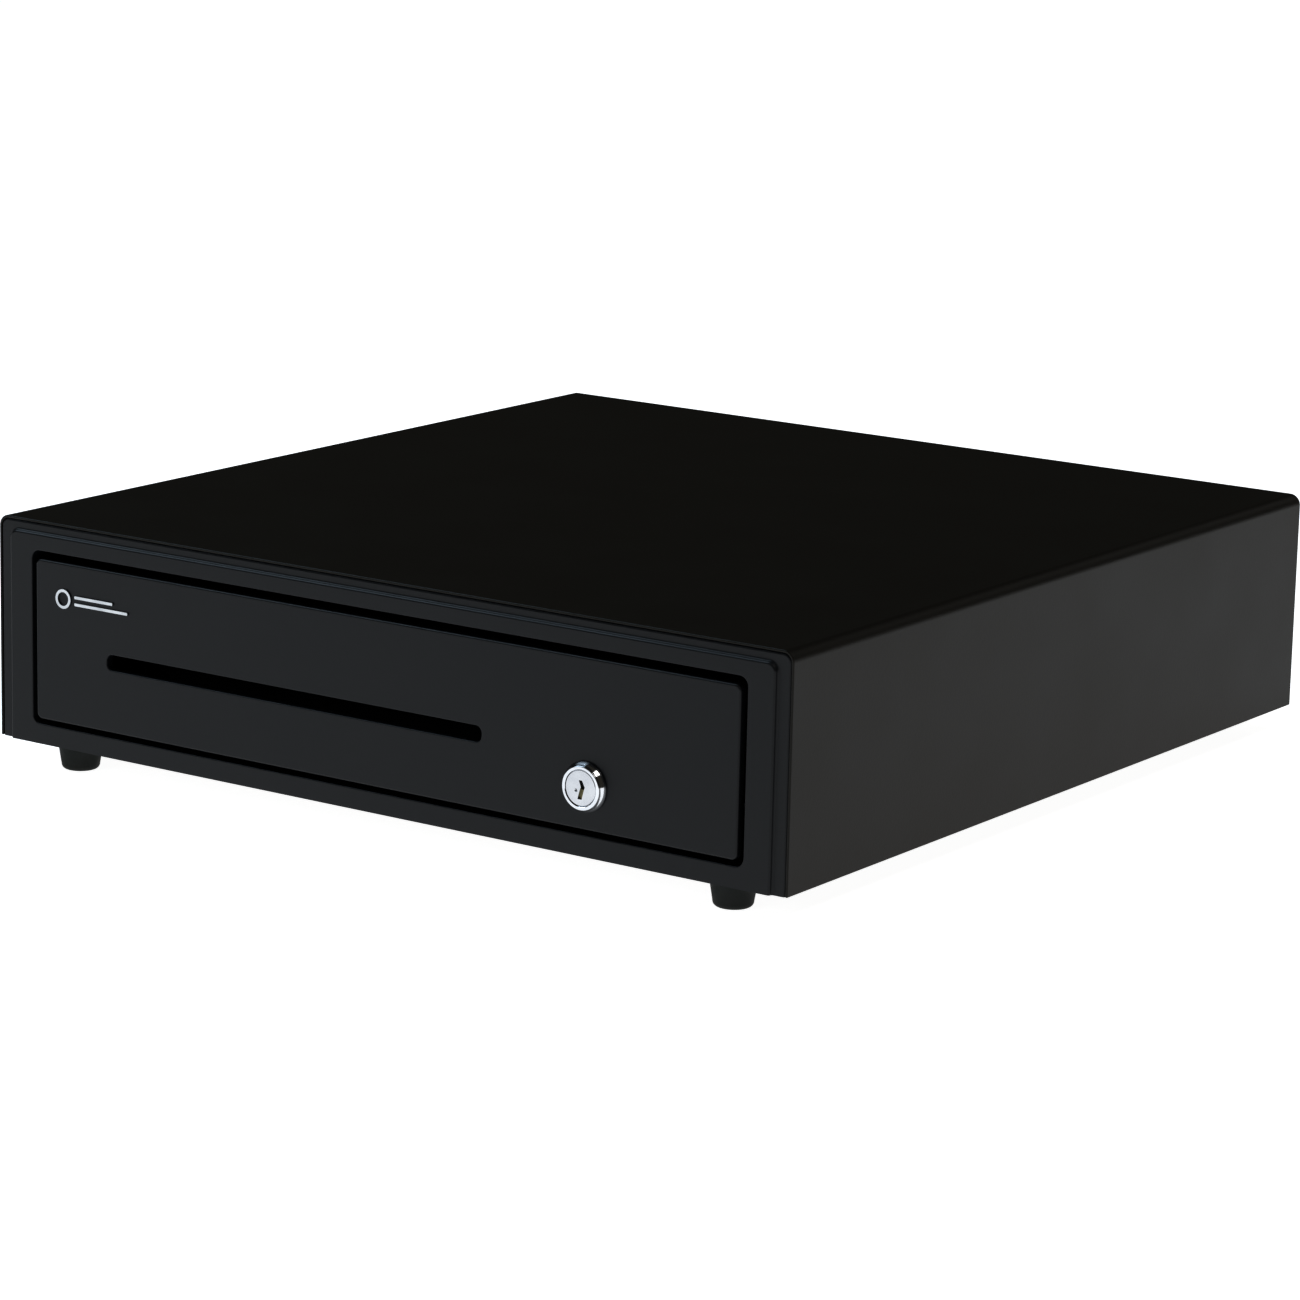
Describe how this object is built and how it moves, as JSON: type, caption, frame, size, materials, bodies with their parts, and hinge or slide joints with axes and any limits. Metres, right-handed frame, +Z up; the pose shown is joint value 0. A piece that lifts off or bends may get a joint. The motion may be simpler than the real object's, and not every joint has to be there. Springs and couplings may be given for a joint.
{
  "type": "cash drawer",
  "caption": "Black steel till drawer with a moulded front, a document slot and a key lock; it slides out on ball slides with a lift-out coin and note till and a solenoid latch.",
  "frame": {"origin": "centre of the bounding box in x and y, on the surface the feet stand on", "axes": "+X to the drawer's right seen from the front, +Y to the rear, +Z up; the drawer opens towards -Y"},
  "size_m": [0.41, 0.4264, 0.11],
  "materials": {
    "case_steel": "black powder coat, fine texture",
    "case_inside_steel": "black powder coat",
    "bezel_plastic": "moulded black ABS, fine texture",
    "drawer_front_plastic": "moulded black ABS, fine texture",
    "drawer_steel": "black powder coat",
    "till_plastic": "moulded black ABS",
    "cup_plastic": "moulded dark grey ABS",
    "foot_rubber": "moulded black rubber",
    "zinc_steel": "zinc plated",
    "ball_steel": "polished steel",
    "chrome": "polished chrome plate",
    "spring_steel": "bright spring wire and strip",
    "silver_badge": "satin foil",
    "coil_tape": "amber coil tape",
    "switch_plastic": "black phenolic",
    "socket_plastic": "black nylon",
    "cable_sheath": "black PVC"
  },
  "bodies": {
    "cabinet": {"cover": "case_steel", "rear_panel": "case_steel", "base_pan": "case_inside_steel", "front_bezel": "bezel_plastic", "lock_keeper": "zinc_steel", "latch_bracket": "zinc_steel", "latch_spring": "spring_steel", "solenoid_frame": "zinc_steel", "solenoid_coil": "coil_tape", "eject_bracket": "zinc_steel", "eject_spring": "spring_steel", "switch_body": "switch_plastic", "jack_socket": "socket_plastic", "jack_cable": "cable_sheath", "foot_front_left": "foot_rubber", "foot_front_right": "foot_rubber", "foot_rear_left": "foot_rubber", "foot_rear_right": "foot_rubber", "case_screw_low_left": "zinc_steel", "case_screw_low_right": "zinc_steel", "case_screw_high_left": "zinc_steel", "case_screw_high_right": "zinc_steel", "slide_bracket_left": "zinc_steel", "slide_outer_left": "zinc_steel", "slide_bracket_right": "zinc_steel", "slide_outer_right": "zinc_steel"},
    "drawer": {"drawer_tray": "drawer_steel", "drawer_front": "drawer_front_plastic", "front_badge": "silver_badge", "slide_inner_left": "zinc_steel", "slide_inner_right": "zinc_steel", "till_rail_left": "zinc_steel", "till_rail_right": "zinc_steel", "till_tray": "till_plastic", "clip_rod": "spring_steel", "lock_body": "chrome", "lock_nut": "zinc_steel", "strike_plate": "zinc_steel", "bill_divider_1": "cup_plastic", "bill_divider_2": "cup_plastic", "bill_divider_3": "cup_plastic", "bill_divider_4": "cup_plastic", "coin_cup_1": "cup_plastic", "coin_cup_2": "cup_plastic", "coin_cup_3": "cup_plastic", "coin_cup_4": "cup_plastic", "coin_cup_5": "cup_plastic"},
    "ball_cage_left": {"ball_cage_left": "ball_steel"},
    "ball_cage_right": {"ball_cage_right": "ball_steel"},
    "lock_plug": {"lock_plug": "chrome", "lock_cam": "zinc_steel"},
    "lock_bolt": {"lock_bolt": "zinc_steel"},
    "latch": {"latch_lever": "zinc_steel"},
    "plunger": {"solenoid_plunger": "zinc_steel"},
    "switch_lever": {"switch_lever": "spring_steel"},
    "bill_clip_1": {"bill_clip_1": "spring_steel"},
    "bill_clip_2": {"bill_clip_2": "spring_steel"},
    "bill_clip_3": {"bill_clip_3": "spring_steel"},
    "bill_clip_4": {"bill_clip_4": "spring_steel"},
    "bill_clip_5": {"bill_clip_5": "spring_steel"}
  },
  "joints": [
    {"name": "drawer_slide", "type": "slide", "parent": "cabinet", "child": "drawer", "axis": [0, -1, 0], "range_m": [0, 0.28]},
    {"name": "cage_slide_left", "type": "slide", "parent": "cabinet", "child": "ball_cage_left", "axis": [0, -1, 0], "range_m": [0, 0.14]},
    {"name": "cage_slide_right", "type": "slide", "parent": "cabinet", "child": "ball_cage_right", "axis": [0, -1, 0], "range_m": [0, 0.14]},
    {"name": "lock_turn", "type": "hinge", "parent": "drawer", "child": "lock_plug", "pos_m": [0.1095, -0.2091, 0.0412], "axis": [0, -1, 0], "range_deg": [0, 90]},
    {"name": "bolt_drop", "type": "slide", "parent": "drawer", "child": "lock_bolt", "axis": [0, 0, -1], "range_m": [0, 0.008]},
    {"name": "latch_pivot", "type": "hinge", "parent": "cabinet", "child": "latch", "pos_m": [0, 0.1989, 0.062], "axis": [1, 0, 0], "range_deg": [0, 10]},
    {"name": "plunger_slide", "type": "slide", "parent": "cabinet", "child": "plunger", "axis": [0, 0, -1], "range_m": [0, 0.0028]},
    {"name": "switch_press", "type": "hinge", "parent": "cabinet", "child": "switch_lever", "pos_m": [0.123, 0.1815, 0.033], "axis": [0, 0, -1], "range_deg": [0, 8], "stiffness_Nm_per_rad": 0.02, "springref_deg": -11.46},
    {"name": "clip_lift_1", "type": "hinge", "parent": "drawer", "child": "bill_clip_1", "pos_m": [-0.1344, 0.1429, 0.083], "axis": [-1, 0, 0], "range_deg": [0, 26], "stiffness_Nm_per_rad": 0.05, "springref_deg": -34.38},
    {"name": "clip_lift_2", "type": "hinge", "parent": "drawer", "child": "bill_clip_2", "pos_m": [-0.0672, 0.1429, 0.083], "axis": [-1, 0, 0], "range_deg": [0, 26], "stiffness_Nm_per_rad": 0.05, "springref_deg": -34.38},
    {"name": "clip_lift_3", "type": "hinge", "parent": "drawer", "child": "bill_clip_3", "pos_m": [0, 0.1429, 0.083], "axis": [-1, 0, 0], "range_deg": [0, 26], "stiffness_Nm_per_rad": 0.05, "springref_deg": -34.38},
    {"name": "clip_lift_4", "type": "hinge", "parent": "drawer", "child": "bill_clip_4", "pos_m": [0.0672, 0.1429, 0.083], "axis": [-1, 0, 0], "range_deg": [0, 26], "stiffness_Nm_per_rad": 0.05, "springref_deg": -34.38},
    {"name": "clip_lift_5", "type": "hinge", "parent": "drawer", "child": "bill_clip_5", "pos_m": [0.1344, 0.1429, 0.083], "axis": [-1, 0, 0], "range_deg": [0, 26], "stiffness_Nm_per_rad": 0.05, "springref_deg": -34.38}
  ],
  "couplings": [
    {"joint": "cage_slide_left", "follows": "drawer_slide", "ratio": 0.5},
    {"joint": "cage_slide_right", "follows": "drawer_slide", "ratio": 0.5},
    {"joint": "lock_turn", "follows": "bolt_drop", "rad_per_m": 196.34},
    {"joint": "latch_pivot", "follows": "plunger_slide", "rad_per_m": 62.33}
  ]
}
